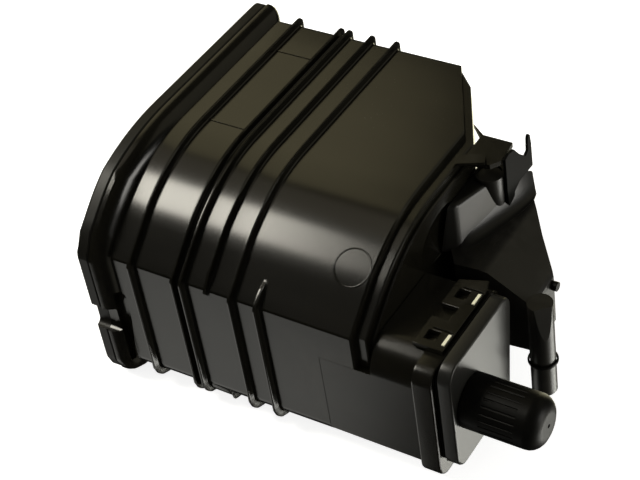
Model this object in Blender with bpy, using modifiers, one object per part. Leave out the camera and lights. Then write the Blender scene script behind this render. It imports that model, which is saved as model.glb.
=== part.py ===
# Fuel vapour canister with an air filter box, a breather cap and a down-turned port pipe.
# X runs along the canister from the welded cover to the breather cap, Y runs from the
# flat side to the back, and Z is up. Lengths are written in millimetres and scaled once.
import math
import bpy
import bmesh
from mathutils import Matrix, Vector

MM = 0.001
GAP = 0.3                    # clearance between pieces that sit against each other
WALL = 2.5                   # moulded wall thickness

# Canister section, looking along X.
DEPTH = 202.0                # flat side at Y 0 to the back
TOP = 43.0                   # height of the flat top above the crease
ARCH_R = 108.0               # radius of the shoulder
ARCH_Y = 90.0                # where the shoulder meets the flat top
ARCH_ANGLE = math.radians(40.5)
BOTTOM_AT_0 = -86.0          # underside height at X 0
BOTTOM_DRAFT = 0.029         # underside rise for each millimetre of X
CORNER_R = 3.5
CORNER_GROWTH = 0.1          # how much of an offset goes into a larger corner radius
CREASE_R = 2.0

# Stations along X.
COVER_X = -66.0              # outside of the welded cover
JOINT_X = -57.0              # weld line between cover and shell
FLANGE_X = -45.0             # where the flange ends and the body starts
FLANGE_H = 8.0               # how far the flange stands out at the side and underneath
FLANGE_ARCH_H = 11.2         # and on the shoulder
FLANGE_TOP_H = 6.8           # and on the flat top and the back
FLANGE_FILLET = 1.6
STEP_X = 123.5               # end of the full section
RIM_X = 130.5                # end of the first step
END_X = 133.0                # end face
STEP_IN = 4.5
RIM_IN = 9.5
BEADS = (
    # centre, height share on the flat side, height share on the shoulder
    (-29.6, 1.0, 1.0),
    (2.1, 1.0, 1.0),
    (8.3, 1.0, 1.0),
    (25.1, 0.0, 1.0),
    (43.1, 1.0, 1.0),
    (60.9, 1.0, 0.0),
)
BEAD_H = 3.9
BEAD_REACH = 3.0             # from the middle of a rib to the end of its fillet
BEAD_PROFILE = ((0.0, 1.0), (0.27, 0.97), (0.34, 0.85), (0.42, 0.42), (0.52, 0.17), (0.72, 0.04),
                (1.0, 0.0))          # reach from the middle, share of the height
RIDGE_Y = (94.0, 171.0)      # two fine raised lines along the flat top
CHAMFER = ((93.0, DEPTH - 6.0), (124.0, DEPTH - 61.0))    # back corner cut, seen from above
CHAMFER_RIM = 5.0            # how far the stepped rim stands out past that cut
RIM_TAPER = 0.2              # share of the cut over which the rim runs in to the back corner

# Partition and inner chambers.
PARTITION_Y = DEPTH * 0.5 - 1.0
FRONT_END_X = 96.0
REAR_END_X = 127.0
PLATE_X = -27.0              # spring side of the pressure plates
PLATE_T = 3.0
PAD_T = 4.0
SCREEN_T = 2.5

# Filter box, lid and breather.
BOX_X = 99.3
BOX_END_X = 176.0
BOX_FLANGE_T = 13.0
BOX_FLANGE_X = BOX_END_X - BOX_FLANGE_T
BOX_DEPTH = 73.0
BOX_TOP = -4.0
BOX_SHELF = -24.0            # underside of the canister above the box
BOX_FLOOR = -82.7
BOX_EDGE_R = 20.0
FLANGE_Y = (-5.0, BOX_DEPTH + 4.0)
FLANGE_Z = (-88.5, BOX_TOP + 0.5)
SEAL_T = 1.4
LID_T = 9.0
LID_Y = (-2.5, BOX_DEPTH - 2.0)
LID_Z = (-78.0, BOX_TOP + 5.0)
LID_TAPER = 9.3              # how much narrower the lid is at its foot
CAP_Y = 17.0
CAP_Z = -36.0
CAP_R = 16.5
CAP_REACH = 59.0             # from the box flange to the nose of the cap
CAP_END_X = BOX_END_X + CAP_REACH
SPIGOT_R = CAP_R - 3.5
SPIGOT_REACH = 23.0
SPIGOT_X = BOX_END_X + SPIGOT_REACH

# Port chamber and pipe.
PORT_FLOOR = -58.0
PORT_TOP = -2.0
PORT_X = 192.5
PIPE_R = 7.7
PIPE_BITE = 1.2              # how far the pipe sinks into the front wall of the chamber
PIPE_X = PORT_X + PIPE_R - PIPE_BITE
PIPE_Y = BOX_DEPTH + 9.0
PIPE_END_Z = -83.5
PIPE_BEAD_Z = PORT_FLOOR - 1.5


def clear_scene():
    for item in list(bpy.data.objects):
        bpy.data.objects.remove(item, do_unlink=True)


clear_scene()
SCENE = bpy.context.scene
PARTS = bpy.data.collections.new("fuel_vapour_canister")
CUTTERS = bpy.data.collections.new("cutters")
SCENE.collection.children.link(PARTS)
SCENE.collection.children.link(CUTTERS)


def make_material(name, color, roughness, metallic=0.0):
    material = bpy.data.materials.new(name)
    material.use_nodes = True
    shader = material.node_tree.nodes["Principled BSDF"]
    shader.inputs["Base Color"].default_value = (color[0], color[1], color[2], 1.0)
    shader.inputs["Roughness"].default_value = roughness
    shader.inputs["Metallic"].default_value = metallic
    return material


def link_part(obj, material_args):
    PARTS.objects.link(obj)
    obj.data.materials.clear()
    obj.data.materials.append(make_material(obj.name + "_mat", *material_args))
    return obj


def link_cutter(obj):
    CUTTERS.objects.link(obj)
    obj.hide_render = True
    obj.display_type = "WIRE"
    return obj


def boolean(obj, cutter, operation="DIFFERENCE"):
    modifier = obj.modifiers.new(cutter.name, "BOOLEAN")
    modifier.operation = operation
    modifier.solver = "EXACT"
    modifier.object = cutter
    return modifier


def bevel(obj, width, segments=2, angle=40.0):
    modifier = obj.modifiers.new("edge_rounding", "BEVEL")
    modifier.width = width * MM
    modifier.segments = segments
    modifier.limit_method = "ANGLE"
    modifier.angle_limit = math.radians(angle)
    return modifier


def object_from_bmesh(name, bm):
    bmesh.ops.recalc_face_normals(bm, faces=bm.faces[:])
    mesh = bpy.data.meshes.new(name)
    bm.to_mesh(mesh)
    bm.free()
    return bpy.data.objects.new(name, mesh)


def loft(name, rings):
    """Skin a row of closed rings, each a list of (x, y, z) in millimetres."""
    bm = bmesh.new()
    rows = []
    for ring in rings:
        rows.append([bm.verts.new(Vector(point) * MM) for point in ring])
    count = len(rows[0])
    for low, high in zip(rows, rows[1:]):
        for index in range(count):
            after = (index + 1) % count
            bm.faces.new((low[index], low[after], high[after], high[index]))
    bm.faces.new(rows[0][::-1])
    bm.faces.new(rows[-1])
    return object_from_bmesh(name, bm)


def prism_x(name, outline, x_low, x_high):
    return loft(name, [[(x, y, z) for y, z in outline] for x in (x_low, x_high)])


def prism_y(name, outline, y_low, y_high):
    return loft(name, [[(x, y, z) for x, z in outline] for y in (y_low, y_high)])


def prism_z(name, outline, z_low, z_high):
    return loft(name, [[(x, y, z) for x, y in outline] for z in (z_low, z_high)])


def box(name, x_range, y_range, z_range):
    corners = [(x_range[0], y_range[0]), (x_range[1], y_range[0]),
               (x_range[1], y_range[1]), (x_range[0], y_range[1])]
    return prism_z(name, corners, *z_range)


def cylinder(name, radius, start, end, segments=32):
    """Cylinder between two points, made with the primitive and turned onto its axis."""
    start = Vector(start)
    end = Vector(end)
    axis = end - start
    bm = bmesh.new()
    turn = axis.to_track_quat("Z", "Y").to_matrix().to_4x4()
    place = Matrix.Translation((start + end) * 0.5 * MM) @ turn
    bmesh.ops.create_cone(bm, cap_ends=True, segments=segments, radius1=radius * MM,
                          radius2=radius * MM, depth=axis.length * MM, matrix=place)
    return object_from_bmesh(name, bm)


def turned(name, profile, origin, direction, steps=40):
    """Spin a closed (radius, distance) profile round an axis with a Screw modifier."""
    bm = bmesh.new()
    verts = [bm.verts.new((radius * MM, 0.0, along * MM)) for radius, along in profile]
    for first, second in zip(verts, verts[1:]):
        bm.edges.new((first, second))
    mesh = bpy.data.meshes.new(name)
    bm.to_mesh(mesh)
    bm.free()
    obj = bpy.data.objects.new(name, mesh)
    turn = Vector(direction).to_track_quat("Z", "Y").to_matrix().to_4x4()
    obj.matrix_world = Matrix.Translation(Vector(origin) * MM) @ turn
    screw = obj.modifiers.new("spin", "SCREW")
    screw.axis = "Z"
    screw.steps = steps
    screw.render_steps = steps
    screw.use_merge_vertices = True
    screw.merge_threshold = 0.00005
    screw.use_normal_calculate = True
    return obj


def arc(center, radius, start, end, segments):
    """Points on a circle from one angle to another, in degrees."""
    points = []
    for index in range(segments + 1):
        angle = math.radians(start + (end - start) * index / segments)
        points.append((center[0] + radius * math.cos(angle),
                       center[1] + radius * math.sin(angle)))
    return points


def rounded_rectangle(low, high, radius, segments=5):
    """Rounded outline between two opposite corners."""
    points = []
    for corner, angle in (((high[0], high[1]), 0.0), ((low[0], high[1]), 90.0),
                          ((low[0], low[1]), 180.0), ((high[0], low[1]), 270.0)):
        side_0 = -radius if corner[0] == high[0] else radius
        side_1 = -radius if corner[1] == high[1] else radius
        center = (corner[0] + side_0, corner[1] + side_1)
        points += arc(center, radius, angle, angle + 90.0, segments)
    return points


def bottom_z(x):
    return BOTTOM_AT_0 + BOTTOM_DRAFT * x


ARCH_CENTER = (ARCH_Y, TOP - ARCH_R)
ARCH_START = (ARCH_Y - ARCH_R * math.sin(ARCH_ANGLE),
              ARCH_CENTER[1] + ARCH_R * math.cos(ARCH_ANGLE))
CREASE_Z = ARCH_START[1] - ARCH_START[0] * math.tan(ARCH_ANGLE)


def shoulder(offset, segments=14):
    """Points up the shoulder, moved out by offset, from its foot to the flat top."""
    start = 90.0 + math.degrees(ARCH_ANGLE)
    return arc(ARCH_CENTER, ARCH_R + offset, start, 90.0, segments)


def blended_shoulder(offset, top_offset):
    """Shoulder whose offset turns into the flat top's one over its upper part."""
    low = shoulder(offset)
    high = shoulder(top_offset)
    points = []
    for index, (outer, inner) in enumerate(zip(low, high)):
        climb = 1.0 - index / (len(low) - 1)
        share = min(1.0, (climb / 0.72) ** 2)
        points.append((inner[0] + (outer[0] - inner[0]) * share,
                       inner[1] + (outer[1] - inner[1]) * share))
    return points


def crease_points(offset):
    """Small radius between the flat side and the shoulder, moved out by offset."""
    radius = max(0.5, CREASE_R + offset)
    center_y = radius - offset
    rise = center_y * math.tan(ARCH_ANGLE)
    drop = (radius - offset) / math.cos(ARCH_ANGLE)
    center = (center_y, CREASE_Z + rise - drop)
    return arc(center, radius, 180.0, 90.0 + math.degrees(ARCH_ANGLE), 2)


def corner(y_side, z_side, y_offset, z_offset, start, segments=3):
    """Rounded outer corner; y_side and z_side are +1 or -1 towards the outside."""
    radius_y = max(0.6, CORNER_R + y_offset * CORNER_GROWTH)
    radius_z = max(0.6, CORNER_R + z_offset * CORNER_GROWTH)
    edge_y = DEPTH if y_side > 0 else 0.0
    points = []
    for index in range(segments + 1):
        angle = math.radians(start - 90.0 * index / segments)
        y = edge_y + y_side * (y_offset - radius_y) + radius_y * math.cos(angle)
        z = z_side * (z_offset - radius_z) + radius_z * math.sin(angle)
        points.append((y, z))
    return points


def slope_point(share, offset):
    """Point on the straight slope between the crease and the shoulder, moved out by offset."""
    foot = crease_points(offset)[-1]
    head = shoulder(offset)[0]
    return (foot[0] + (head[0] - foot[0]) * share, foot[1] + (head[1] - foot[1]) * share)


def section(x, side, crease, slope, arch, top, under):
    """One closed outline of the canister at station x, each part with its own offset."""
    floor = bottom_z(x)
    points = [(y, z + floor) for y, z in corner(-1, -1, side, under, 270.0)]
    foot = crease_points(crease)
    points.append((-side, foot[0][1] - 3.0))
    points += foot
    points.append(slope_point(0.35, slope))
    points.append(slope_point(0.65, arch))
    points += blended_shoulder(arch, top)
    points += [(y, z + TOP) for y, z in corner(1, 1, top, top, 90.0)]
    points += [(y, z + floor) for y, z in corner(1, -1, top, under, 0.0)]
    return [(x, y, z) for y, z in points]


def even_section(x, offset):
    return section(x, offset, offset, offset, offset, offset, offset)


def flange_section(x, share, inset=0.0):
    """Outline of the flange, with a share of its full height, drawn in by inset."""
    side = FLANGE_H * share - inset
    arch = FLANGE_ARCH_H * share - inset
    top = FLANGE_TOP_H * share - inset
    return section(x, side, side, arch, arch, top, side)


def bead_rise(x, center):
    """Share of a rib's height at station x."""
    reach = abs(x - center) / BEAD_REACH
    for (near, high), (far, low) in zip(BEAD_PROFILE, BEAD_PROFILE[1:]):
        if reach <= far:
            return high + (low - high) * (reach - near) / (far - near)
    return 0.0


def bead_section(x):
    """Outline at station x with whatever rib stands there."""
    side = 0.0
    arch = 0.0
    under = 0.0
    for center, on_side, on_shoulder in BEADS:
        rise = BEAD_H * bead_rise(x, center)
        side = max(side, rise * on_side)
        arch = max(arch, rise * on_shoulder)
        under = max(under, rise)
    return section(x, side, max(side, arch * 0.6), max(arch, side * 0.8), arch, arch, under)


def build_shell():
    rings = [flange_section(JOINT_X + GAP, 1.0, 1.0), flange_section(JOINT_X + 1.0, 1.0)]
    for along, height in ((0.3, 0.98), (0.5, 0.88), (0.68, 0.70), (0.83, 0.46), (0.94, 0.2)):
        rings.append(flange_section(JOINT_X + (FLANGE_X - JOINT_X) * along, height))
    rings.append(flange_section(FLANGE_X, 0.06))
    rings.append(even_section(FLANGE_X + FLANGE_FILLET, 0.0))
    stations = set()
    for center, *_ in BEADS:
        for reach, _ in BEAD_PROFILE:
            stations.update((center - BEAD_REACH * reach, center + BEAD_REACH * reach))
    last = FLANGE_X + FLANGE_FILLET
    for x in sorted(stations):
        if x > last + 0.15:
            rings.append(bead_section(x))
            last = x
    rings.append(even_section(STEP_X - 1.2, 0.0))
    rings.append(even_section(STEP_X, -1.0))
    rings.append(even_section(STEP_X + 0.1, -STEP_IN))
    rings.append(even_section(RIM_X - 0.8, -STEP_IN))
    rings.append(even_section(RIM_X, -STEP_IN - 0.8))
    rings.append(even_section(RIM_X + 0.1, -RIM_IN))
    rings.append(even_section(END_X - 0.8, -RIM_IN))
    rings.append(even_section(END_X, -RIM_IN - 0.8))
    return loft("shell", rings)


def chamber_outline(y_low, y_high, inset, floor):
    """Inside outline of a chamber between two walls, following the roof of the canister."""
    points = [(y_low, floor)]
    roof = shoulder(-inset)
    if y_low < roof[0][0]:
        tangent = math.tan(ARCH_ANGLE)
        points.append((y_low, roof[0][1] - (roof[0][0] - y_low) * tangent))
    for y, z in roof:
        if y_low < y < y_high:
            points.append((y, z))
    if y_low > roof[-1][0]:
        points.append((y_low, TOP - inset))
    points.append((y_high, TOP - inset))
    points.append((y_high, floor))
    return points


CHAMBER_FLOOR = bottom_z(REAR_END_X) + WALL
FRONT_Y = (WALL, PARTITION_Y - WALL * 0.5)
REAR_Y = (PARTITION_Y + WALL * 0.5, DEPTH - WALL)
FRONT_HALF = (FRONT_Y[0], FRONT_Y[1], WALL, CHAMBER_FLOOR)
REAR_HALF = (REAR_Y[0], REAR_Y[1], WALL, CHAMBER_FLOOR)
REAR_STACK_X = 87.0


def inset_outline(half, gap):
    """Chamber outline drawn in by a clearance on all sides, for the pieces inside."""
    y_low, y_high, inset, floor = half
    return chamber_outline(y_low + gap, y_high - gap, inset + gap, floor + gap)


def chamfer_line(shift):
    """Two far points on the back corner cut, moved outwards by shift."""
    run = CHAMFER[1][0] - CHAMFER[0][0]
    drop = CHAMFER[1][1] - CHAMFER[0][1]
    length = math.hypot(run, drop)
    out = (-drop / length * shift, run / length * shift)
    far = 2.0
    first = (CHAMFER[0][0] - run * far + out[0], CHAMFER[0][1] - drop * far + out[1])
    last = (CHAMFER[1][0] + run * far + out[0], CHAMFER[1][1] + drop * far + out[1])
    return first, last


def chamfer_cutter(name, shift, z_low, z_high, taper=0.0):
    """Cutter beyond the back corner line; taper runs the line back to the corner at its end."""
    first, last = chamfer_line(shift)
    inner = chamfer_line(0.0)[0]
    outline = [first, last, (last[0] + 90.0, last[1]), (first[0] + 200.0, first[1])]
    if taper > 0.0:
        share = 2.0 / 5.0 + taper / 5.0
        turn = (first[0] + (last[0] - first[0]) * share, first[1] + (last[1] - first[1]) * share)
        foot = (CHAMFER[0][0] - 2.0, CHAMFER[0][1] + 3.5)
        outline = [inner, foot, turn, last, (last[0] + 90.0, last[1]), (inner[0] + 200.0, inner[1])]
    return link_cutter(prism_z(name, outline, z_low, z_high))


SIDE_PLASTIC = ((0.021, 0.020, 0.017), 0.32)
DARK_PLASTIC = ((0.012, 0.012, 0.011), 0.38)

# The canister shell: a ribbed, stepped skin, hollowed into two chambers open at the cover.
shell = link_part(build_shell(), SIDE_PLASTIC)
boolean(shell, chamfer_cutter("cut_chamfer_top", 0.0, TOP - STEP_IN, TOP + 30.0))
boolean(shell, chamfer_cutter("cut_chamfer_rim", CHAMFER_RIM, -120.0, TOP + 40.0, RIM_TAPER))
boolean(shell, link_cutter(box("cut_box_seat", (BOX_X - GAP, 180.0), (-30.0, BOX_DEPTH + GAP),
                               (-120.0, BOX_SHELF + GAP))))
boolean(shell, link_cutter(prism_x("cut_front_chamber", chamber_outline(*FRONT_HALF),
                                   JOINT_X - 3.0, FRONT_END_X)))
boolean(shell, link_cutter(prism_x("cut_rear_chamber", chamber_outline(*REAR_HALF),
                                   JOINT_X - 3.0, REAR_STACK_X)))
PLENUM_Y = PARTITION_Y + 4.0
PLENUM = [(REAR_STACK_X - 1.0, PLENUM_Y), (REAR_END_X, PLENUM_Y), (REAR_END_X, DEPTH - 73.0),
          (CHAMFER[0][0], DEPTH - 13.0), (REAR_STACK_X - 1.0, DEPTH - 13.0)]
boolean(shell, link_cutter(prism_z("cut_plenum", PLENUM, -74.0, 30.0)))
boolean(shell, link_cutter(prism_x("cut_upper_front",
                                   chamber_outline(9.0, FRONT_Y[1], 11.0, BOX_SHELF + 5.0),
                                   FRONT_END_X - 1.0, REAR_END_X - 3.0)))
boolean(shell, link_cutter(box("cut_crossover", (JOINT_X - 3.0, JOINT_X + 10.0),
                               (PARTITION_Y - 4.0, PARTITION_Y + 4.0), (-60.0, 20.0))))
VAPOUR_HOLE = (PIPE_Y + 38.0, -30.0)
boolean(shell, link_cutter(cylinder("cut_vapour_hole", 7.0, (REAR_END_X - 4.0, *VAPOUR_HOLE),
                                    (END_X + 4.0, *VAPOUR_HOLE), 24)))
AIR_HOLE = (36.0, -52.0)
boolean(shell, link_cutter(cylinder("cut_air_hole", 10.0, (FRONT_END_X - 4.0, *AIR_HOLE),
                                    (BOX_X + 1.0, *AIR_HOLE), 24)))

# Fine raised lines on the flat top between the first two beads.
ridge_x = (BEADS[0][0], BEADS[1][0])
for index, y in enumerate(RIDGE_Y):
    ridge = box("add_ridge_%d" % index, ridge_x, (y - 0.5, y + 0.5), (TOP - 1.0, TOP + 0.45))
    boolean(shell, link_cutter(ridge), "UNION")

# Shallow forms in the skin: end dimple, clip recess, rim notch.
DIMPLE = (END_X + 1.2, 89.0, 10.0)


def ellipsoid(name, center, radii, turn_x=0.0):
    bm = bmesh.new()
    bmesh.ops.create_uvsphere(bm, u_segments=28, v_segments=14, radius=1.0)
    size = Matrix.Diagonal((radii[0] * MM, radii[1] * MM, radii[2] * MM, 1.0))
    turn = Matrix.Rotation(math.radians(turn_x), 4, "X")
    place = Matrix.Translation(Vector(center) * MM) @ turn @ size
    bmesh.ops.transform(bm, matrix=place, verts=bm.verts[:])
    return object_from_bmesh(name, bm)


boolean(shell, link_cutter(ellipsoid("cut_dimple", DIMPLE, (5.0, 23.0, 15.0), 12.0)))
RECESS_TOP = -26.4
RECESS = [(FLANGE_X - 4.5, BOTTOM_AT_0 + 7.0), (FLANGE_X - 0.5, BOTTOM_AT_0 + 7.0),
          (FLANGE_X + 3.5, RECESS_TOP - 23.6), (FLANGE_X + 4.5, RECESS_TOP - 7.6),
          (FLANGE_X + 3.3, RECESS_TOP - 2.6), (FLANGE_X - 0.5, RECESS_TOP - 0.6),
          (FLANGE_X - 4.5, RECESS_TOP)]
boolean(shell, link_cutter(prism_y("cut_clip_recess", RECESS, -4.0, 1.3)))
NOTCH = rounded_rectangle((-FLANGE_H - 14.0, RECESS_TOP - 31.6), (-2.6, RECESS_TOP - 12.6), 4.0, 4)
notch_cutter = link_cutter(prism_x("cut_rim_notch", NOTCH, COVER_X - 4.0, FLANGE_X + 3.0))
boolean(shell, notch_cutter)

# Welded cover: a plate with a rim, stiffened outside by pockets between ribs.
cover_rings = [flange_section(COVER_X, 1.0, 1.8), flange_section(COVER_X + 1.6, 1.0, 0.6),
               flange_section(JOINT_X - 1.2, 1.0, 0.6), flange_section(JOINT_X, 1.0, 1.2)]
cover = link_part(loft("end_cover", cover_rings), SIDE_PLASTIC)
boolean(cover, notch_cutter)
POCKET_EDGE = 14.0
POCKET_RIB = 5.0
POCKET_ROWS = ((BOTTOM_AT_0 + 10.0, -22.0), (-18.0, TOP - 15.0))
POCKET_PITCH = (DEPTH - POCKET_EDGE + POCKET_RIB - 8.0) / 4.0
for row, (pocket_low, pocket_high) in enumerate(POCKET_ROWS):
    for column in range(4):
        start = POCKET_EDGE + column * POCKET_PITCH
        low = (start, pocket_low)
        if column == 0 and row == 1:
            low = (start + 16.0, pocket_low)
        high = (start + POCKET_PITCH - POCKET_RIB, pocket_high)
        pocket = rounded_rectangle(low, high, 4.0, 3)
        label = "cut_cover_pocket_%d_%d" % (row, column)
        boolean(cover, link_cutter(prism_x(label, pocket, COVER_X - 3.0, COVER_X + 5.5)))


# Charcoal beds with a pad and a slotted plate at each end, held by springs.
CHARCOAL = ((0.028, 0.028, 0.030), 0.9)
FELT = ((0.50, 0.48, 0.43), 0.95)
GREY_PLASTIC = ((0.10, 0.10, 0.10), 0.5)
STEEL = ((0.62, 0.62, 0.60), 0.3, 1.0)
RUBBER = ((0.015, 0.015, 0.015), 0.7)
FOAM = ((0.22, 0.21, 0.18), 0.95)
STACKS = (("front", FRONT_HALF, FRONT_END_X), ("rear", REAR_HALF, REAR_STACK_X))
SLOT_W = 3.0                 # flow slots in the plates and screens
SLOT_Z = (-70.0, 5.0)
SPRING_R = 12.0
SPRING_WIRE = 1.1
SPRING_Z = (("low", -56.0), ("high", 6.0))


def slotted_plate(name, half, x_low, thickness):
    """Plate across a chamber, with rows of flow holes."""
    plate = prism_x(name, inset_outline(half, GAP), x_low, x_low + thickness)
    link_part(plate, GREY_PLASTIC)
    pitch = (half[1] - half[0]) / 8.3
    first = (half[0] + half[1]) * 0.5 - pitch * 3.0
    rows = link_cutter(box("cut_" + name, (x_low - 1.0, x_low + thickness + 1.0),
                           (first - SLOT_W * 0.5, first + SLOT_W * 0.5), SLOT_Z))
    array = rows.modifiers.new("row", "ARRAY")
    array.use_relative_offset = False
    array.use_constant_offset = True
    array.constant_offset_displace = (0.0, pitch * MM, 0.0)
    array.count = 7
    boolean(plate, rows)
    return plate


def coil(name, center, x_low, x_high, radius, wire, turns=5, steps_a_turn=12):
    """Compression spring along X, a bevelled curve with filled ends."""
    curve = bpy.data.curves.new(name, "CURVE")
    curve.dimensions = "3D"
    curve.bevel_depth = wire * MM
    curve.bevel_resolution = 1
    curve.use_fill_caps = True
    steps = turns * steps_a_turn
    spline = curve.splines.new("POLY")
    spline.points.add(steps)
    travel = x_high - x_low - wire * 2.0
    for index in range(steps + 1):
        angle = 2.0 * math.pi * turns * index / steps
        x = x_low + wire + travel * index / steps
        y = center[0] + radius * math.cos(angle)
        z = center[1] + radius * math.sin(angle)
        spline.points[index].co = (x * MM, y * MM, z * MM, 1.0)
    source = bpy.data.objects.new(name + "_curve", curve)
    mesh = bpy.data.meshes.new_from_object(source)
    bpy.data.objects.remove(source, do_unlink=True)
    mesh.name = name
    return link_part(bpy.data.objects.new(name, mesh), STEEL)


for label, half, stack_end in STACKS:
    plate_end = PLATE_X + PLATE_T
    slotted_plate("pressure_plate_" + label, half, PLATE_X, PLATE_T)
    pad_x = plate_end + GAP
    pad = prism_x("felt_pad_%s_spring_side" % label, inset_outline(half, GAP), pad_x, pad_x + PAD_T)
    link_part(pad, FELT)
    screen_x = stack_end - GAP - SCREEN_T
    slotted_plate("screen_" + label, half, screen_x, SCREEN_T)
    far_pad_x = screen_x - GAP - PAD_T
    pad = prism_x("felt_pad_%s_port_side" % label, inset_outline(half, GAP), far_pad_x,
                  far_pad_x + PAD_T)
    link_part(pad, FELT)
    bed = prism_x("charcoal_bed_" + label, inset_outline(half, GAP), pad_x + PAD_T + GAP,
                  far_pad_x - GAP)
    link_part(bed, CHARCOAL)
    middle = (half[0] + half[1]) * 0.5
    for place, z in SPRING_Z:
        coil("spring_%s_%s" % (label, place), (middle, z), JOINT_X + GAP, PLATE_X - GAP, SPRING_R,
             SPRING_WIRE)

# Filter box in the lower corner, its flange, foam element, seal and lid.
box_under = [(0.0, BOX_FLOOR), (0.0, BOX_SHELF), (BOX_DEPTH, BOX_SHELF), (BOX_DEPTH, BOX_FLOOR)]
round_top = arc((BOX_EDGE_R, BOX_TOP - BOX_EDGE_R), BOX_EDGE_R, 180.0, 90.0, 6)
box_outer = [(0.0, BOX_FLOOR)] + round_top + [(BOX_DEPTH - 4.0, BOX_TOP),
                                              (BOX_DEPTH, BOX_TOP - 4.0), (BOX_DEPTH, BOX_FLOOR)]
filter_box = link_part(prism_x("filter_box", box_outer, END_X + GAP, BOX_FLANGE_X + 4.0),
                       SIDE_PLASTIC)
boolean(filter_box, link_cutter(prism_x("add_box_under", box_under, BOX_X, END_X + 8.0)), "UNION")
flange_outline = rounded_rectangle((FLANGE_Y[0], FLANGE_Z[0]), (FLANGE_Y[1], FLANGE_Z[1]), 10.0)
flange_solid = prism_x("add_box_flange", flange_outline, BOX_FLANGE_X, BOX_END_X)
bevel(flange_solid, 1.2, 2)
boolean(filter_box, link_cutter(flange_solid), "UNION")
BOX_ROOM = rounded_rectangle((WALL, BOX_FLOOR + WALL), (BOX_DEPTH - WALL, BOX_SHELF - WALL), 3.0, 3)
boolean(filter_box, link_cutter(prism_x("cut_box_room", BOX_ROOM, BOX_X + WALL, BOX_END_X + 3.0)))
boolean(filter_box, link_cutter(cylinder("cut_box_air_hole", 10.0, (BOX_X - 1.0, *AIR_HOLE),
                                         (BOX_X + WALL + 1.0, *AIR_HOLE), 24)))
ELEMENT = rounded_rectangle((WALL + GAP, BOX_FLOOR + WALL + GAP),
                            (BOX_DEPTH - WALL - GAP, BOX_SHELF - WALL - GAP), 3.0, 3)
ELEMENT_X = (BOX_X + 14.0, BOX_END_X - 14.7)
link_part(prism_x("air_filter", ELEMENT, *ELEMENT_X), FOAM)


def lid_outline(inset, head, radius, segments=6):
    """Rounded outline of the lid, narrower at its foot, drawn in by inset and by head at the top."""
    points = []
    for y, z in rounded_rectangle((LID_Y[0] + inset, LID_Z[0] + inset),
                                  (LID_Y[1] - inset, LID_Z[1] - head), radius, segments):
        drop = (LID_Z[1] - z) / (LID_Z[1] - LID_Z[0])
        back = (y - LID_Y[0]) / (LID_Y[1] - LID_Y[0])
        points.append((y - LID_TAPER * drop * back, z))
    return points


seal_outer = lid_outline(1.5, 6.0, 8.0)
seal_inner = lid_outline(5.5, 10.0, 5.0)
seal = link_part(prism_x("lid_seal", seal_outer, BOX_END_X + GAP, BOX_END_X + GAP + SEAL_T), RUBBER)
boolean(seal, link_cutter(prism_x("cut_seal", seal_inner, BOX_END_X - 2.0, BOX_END_X + 6.0)))
LID_X = BOX_END_X + GAP + SEAL_T + GAP
LID_FACE_X = LID_X + LID_T
lid = link_part(prism_x("filter_lid", lid_outline(0.0, 0.0, 11.0), LID_X, LID_FACE_X), SIDE_PLASTIC)
bevel(lid, 1.4, 2, 60.0)
boolean(lid, link_cutter(cylinder("add_spigot", SPIGOT_R, (LID_X + 2.0, CAP_Y, CAP_Z),
                                  (SPIGOT_X, CAP_Y, CAP_Z), 36)), "UNION")
boolean(lid, link_cutter(cylinder("cut_spigot_bore", SPIGOT_R - WALL, (LID_X - 2.0, CAP_Y, CAP_Z),
                                  (SPIGOT_X + 2.0, CAP_Y, CAP_Z), 36)))

# Breather cap over the spigot: a cup with fine ribs, a round nose and one small hole.
cap_reach = CAP_END_X - LID_FACE_X - GAP
BORE_R = SPIGOT_R + GAP
cap_profile = [(0.0, cap_reach)]
cap_profile += [(radius, cap_reach - 9.0 + along)
                for radius, along in arc((CAP_R - 9.0, 0.0), 9.0, 90.0, 0.0, 6)]
cap_profile += [(CAP_R, 0.6), (CAP_R - 0.6, 0.0), (BORE_R, 0.0), (BORE_R, cap_reach - 7.0),
                (BORE_R - 3.0, cap_reach - 3.5), (0.0, cap_reach - 3.0)]
cap = turned("breather_cap", cap_profile, (LID_FACE_X + GAP, CAP_Y, CAP_Z), (1.0, 0.0, 0.0), 48)
link_part(cap, DARK_PLASTIC)
RIB_X = (LID_FACE_X + 13.0, LID_FACE_X + 34.0)
for index in range(24):
    angle = 2.0 * math.pi * index / 24
    y = CAP_Y + (CAP_R + 0.55) * math.cos(angle)
    z = CAP_Z + (CAP_R + 0.55) * math.sin(angle)
    groove = cylinder("cut_cap_groove_%02d" % index, 1.0, (RIB_X[0], y, z), (RIB_X[1], y, z), 8)
    boolean(cap, link_cutter(groove))
boolean(cap, link_cutter(cylinder("cut_cap_hole", 1.4, (CAP_END_X - 8.0, CAP_Y, CAP_Z),
                                  (CAP_END_X + 2.0, CAP_Y, CAP_Z), 12)))

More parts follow.
